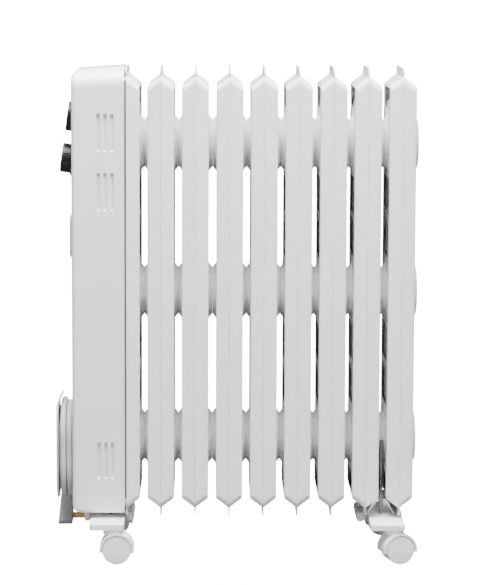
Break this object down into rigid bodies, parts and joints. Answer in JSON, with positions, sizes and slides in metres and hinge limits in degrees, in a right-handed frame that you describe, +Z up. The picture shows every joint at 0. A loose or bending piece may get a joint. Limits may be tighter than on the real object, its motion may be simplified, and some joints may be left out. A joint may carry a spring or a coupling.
{
  "type": "oil filled radiator heater",
  "caption": "Upright finned oil heater on twin-wheel casters, with a control housing, two knobs and a cord winder at one end.",
  "frame": {"origin": "floor level, under the middle of the heater's length and width (the mains cord and its plug left out)", "axes": "+X along the row of fins, away from the control housing; +Y towards the far side; +Z up"},
  "size_m": [0.4757, 0.2134, 0.641],
  "materials": {
    "fin_enamel": "semi-gloss baked enamel",
    "enamel_white": "semi-gloss baked enamel",
    "plug_enamel": "semi-gloss baked enamel over brazed steel",
    "element_steel": "dull sheathed tube",
    "flange_steel": "machined",
    "cutout_ceramic": "fired, matt",
    "terminal_plastic": "moulded",
    "housing_plastic": "fine satin moulding",
    "panel_plastic": "fine satin moulding",
    "badge_plastic": "satin",
    "chassis_zinc": "zinc plated sheet",
    "knob_black": "ribbed black moulding",
    "control_ceramic": "fired, matt",
    "switch_plastic": "moulded",
    "winder_plastic": "satin moulding",
    "gland_plastic": "moulded",
    "cord_sheath": "soft sheath",
    "plug_plastic": "moulded",
    "pin_brass": "bright",
    "bolt_zinc": "zinc plated, threaded ends",
    "caster_plastic": "smooth moulding",
    "wheel_plastic": "smooth moulding"
  },
  "bodies": {
    "heater": {"fin_1_front_shell": "fin_enamel", "fin_1_rear_shell": "fin_enamel", "fin_2_front_shell": "fin_enamel", "fin_2_rear_shell": "fin_enamel", "fin_3_front_shell": "fin_enamel", "fin_3_rear_shell": "fin_enamel", "fin_4_front_shell": "fin_enamel", "fin_4_rear_shell": "fin_enamel", "fin_5_front_shell": "fin_enamel", "fin_5_rear_shell": "fin_enamel", "fin_6_front_shell": "fin_enamel", "fin_6_rear_shell": "fin_enamel", "fin_7_front_shell": "fin_enamel", "fin_7_rear_shell": "fin_enamel", "fin_8_front_shell": "fin_enamel", "fin_8_rear_shell": "fin_enamel", "fin_9_front_shell": "fin_enamel", "fin_9_rear_shell": "fin_enamel", "saddle_left": "enamel_white", "saddle_right": "enamel_white", "oil_filler_plug": "plug_enamel", "heating_element": "element_steel", "element_flange": "flange_steel", "thermal_cutout": "cutout_ceramic", "terminal_block": "terminal_plastic", "control_housing": "housing_plastic", "control_panel": "panel_plastic", "front_badge_plate": "badge_plastic", "chassis_plate": "chassis_zinc", "thermostat": "control_ceramic", "power_switch": "switch_plastic", "cord_winder": "winder_plastic", "cord_gland": "gland_plastic", "cord_lead": "cord_sheath", "cord_winding": "cord_sheath", "cord_tail": "cord_sheath", "plug_body": "plug_plastic", "plug_pin_earth": "pin_brass", "plug_pin_live": "pin_brass", "plug_pin_neutral": "pin_brass", "u_bolt_left": "bolt_zinc", "u_bolt_right": "bolt_zinc", "wing_nut_left_near": "bolt_zinc", "wing_nut_left_far": "bolt_zinc", "wing_nut_right_near": "bolt_zinc", "wing_nut_right_far": "bolt_zinc", "caster_carrier_left_near": "caster_plastic", "caster_carrier_left_far": "caster_plastic", "caster_carrier_right_near": "caster_plastic", "caster_carrier_right_far": "caster_plastic"},
    "thermostat_knob": {"thermostat_knob": "knob_black"},
    "power_knob": {"power_knob": "knob_black"},
    "caster_hood_left_near": {"caster_hood_left_near": "caster_plastic"},
    "caster_hood_left_far": {"caster_hood_left_far": "caster_plastic"},
    "caster_hood_right_near": {"caster_hood_right_near": "caster_plastic"},
    "caster_hood_right_far": {"caster_hood_right_far": "caster_plastic"},
    "caster_wheels_left_near": {"caster_wheels_left_near": "wheel_plastic"},
    "caster_wheels_left_far": {"caster_wheels_left_far": "wheel_plastic"},
    "caster_wheels_right_near": {"caster_wheels_right_near": "wheel_plastic"},
    "caster_wheels_right_far": {"caster_wheels_right_far": "wheel_plastic"}
  },
  "joints": [
    {"name": "thermostat_turn", "type": "hinge", "parent": "heater", "child": "thermostat_knob", "pos_m": [-0.20433, 0, 0.57203], "axis": [-0.9903, 0, 0.1392], "range_deg": [-135, 135]},
    {"name": "power_select", "type": "hinge", "parent": "heater", "child": "power_knob", "pos_m": [-0.21192, 0, 0.51797], "axis": [-0.9903, 0, 0.1392], "range_deg": [-270, 0]},
    {"name": "caster_swivel_left_near", "type": "hinge", "parent": "heater", "child": "caster_hood_left_near", "pos_m": [-0.16132, -0.087, 0.05], "axis": [0, 0, 1], "continuous": true},
    {"name": "caster_roll_left_near", "type": "hinge", "parent": "caster_hood_left_near", "child": "caster_wheels_left_near", "pos_m": [-0.15632, -0.087, 0.0185], "axis": [0, 1, 0], "continuous": true},
    {"name": "caster_swivel_left_far", "type": "hinge", "parent": "heater", "child": "caster_hood_left_far", "pos_m": [-0.16132, 0.087, 0.05], "axis": [0, 0, 1], "continuous": true},
    {"name": "caster_roll_left_far", "type": "hinge", "parent": "caster_hood_left_far", "child": "caster_wheels_left_far", "pos_m": [-0.16615, 0.08571, 0.0185], "axis": [0.2588, -0.9659, 0], "continuous": true},
    {"name": "caster_swivel_right_near", "type": "hinge", "parent": "heater", "child": "caster_hood_right_near", "pos_m": [0.20328, -0.087, 0.05], "axis": [0, 0, 1], "continuous": true},
    {"name": "caster_roll_right_near", "type": "hinge", "parent": "caster_hood_right_near", "child": "caster_wheels_right_near", "pos_m": [0.20811, -0.08571, 0.0185], "axis": [-0.2588, 0.9659, 0], "continuous": true},
    {"name": "caster_swivel_right_far", "type": "hinge", "parent": "heater", "child": "caster_hood_right_far", "pos_m": [0.20328, 0.087, 0.05], "axis": [0, 0, 1], "continuous": true},
    {"name": "caster_roll_right_far", "type": "hinge", "parent": "caster_hood_right_far", "child": "caster_wheels_right_far", "pos_m": [0.19828, 0.087, 0.0185], "axis": [0, -1, 0], "continuous": true}
  ]
}
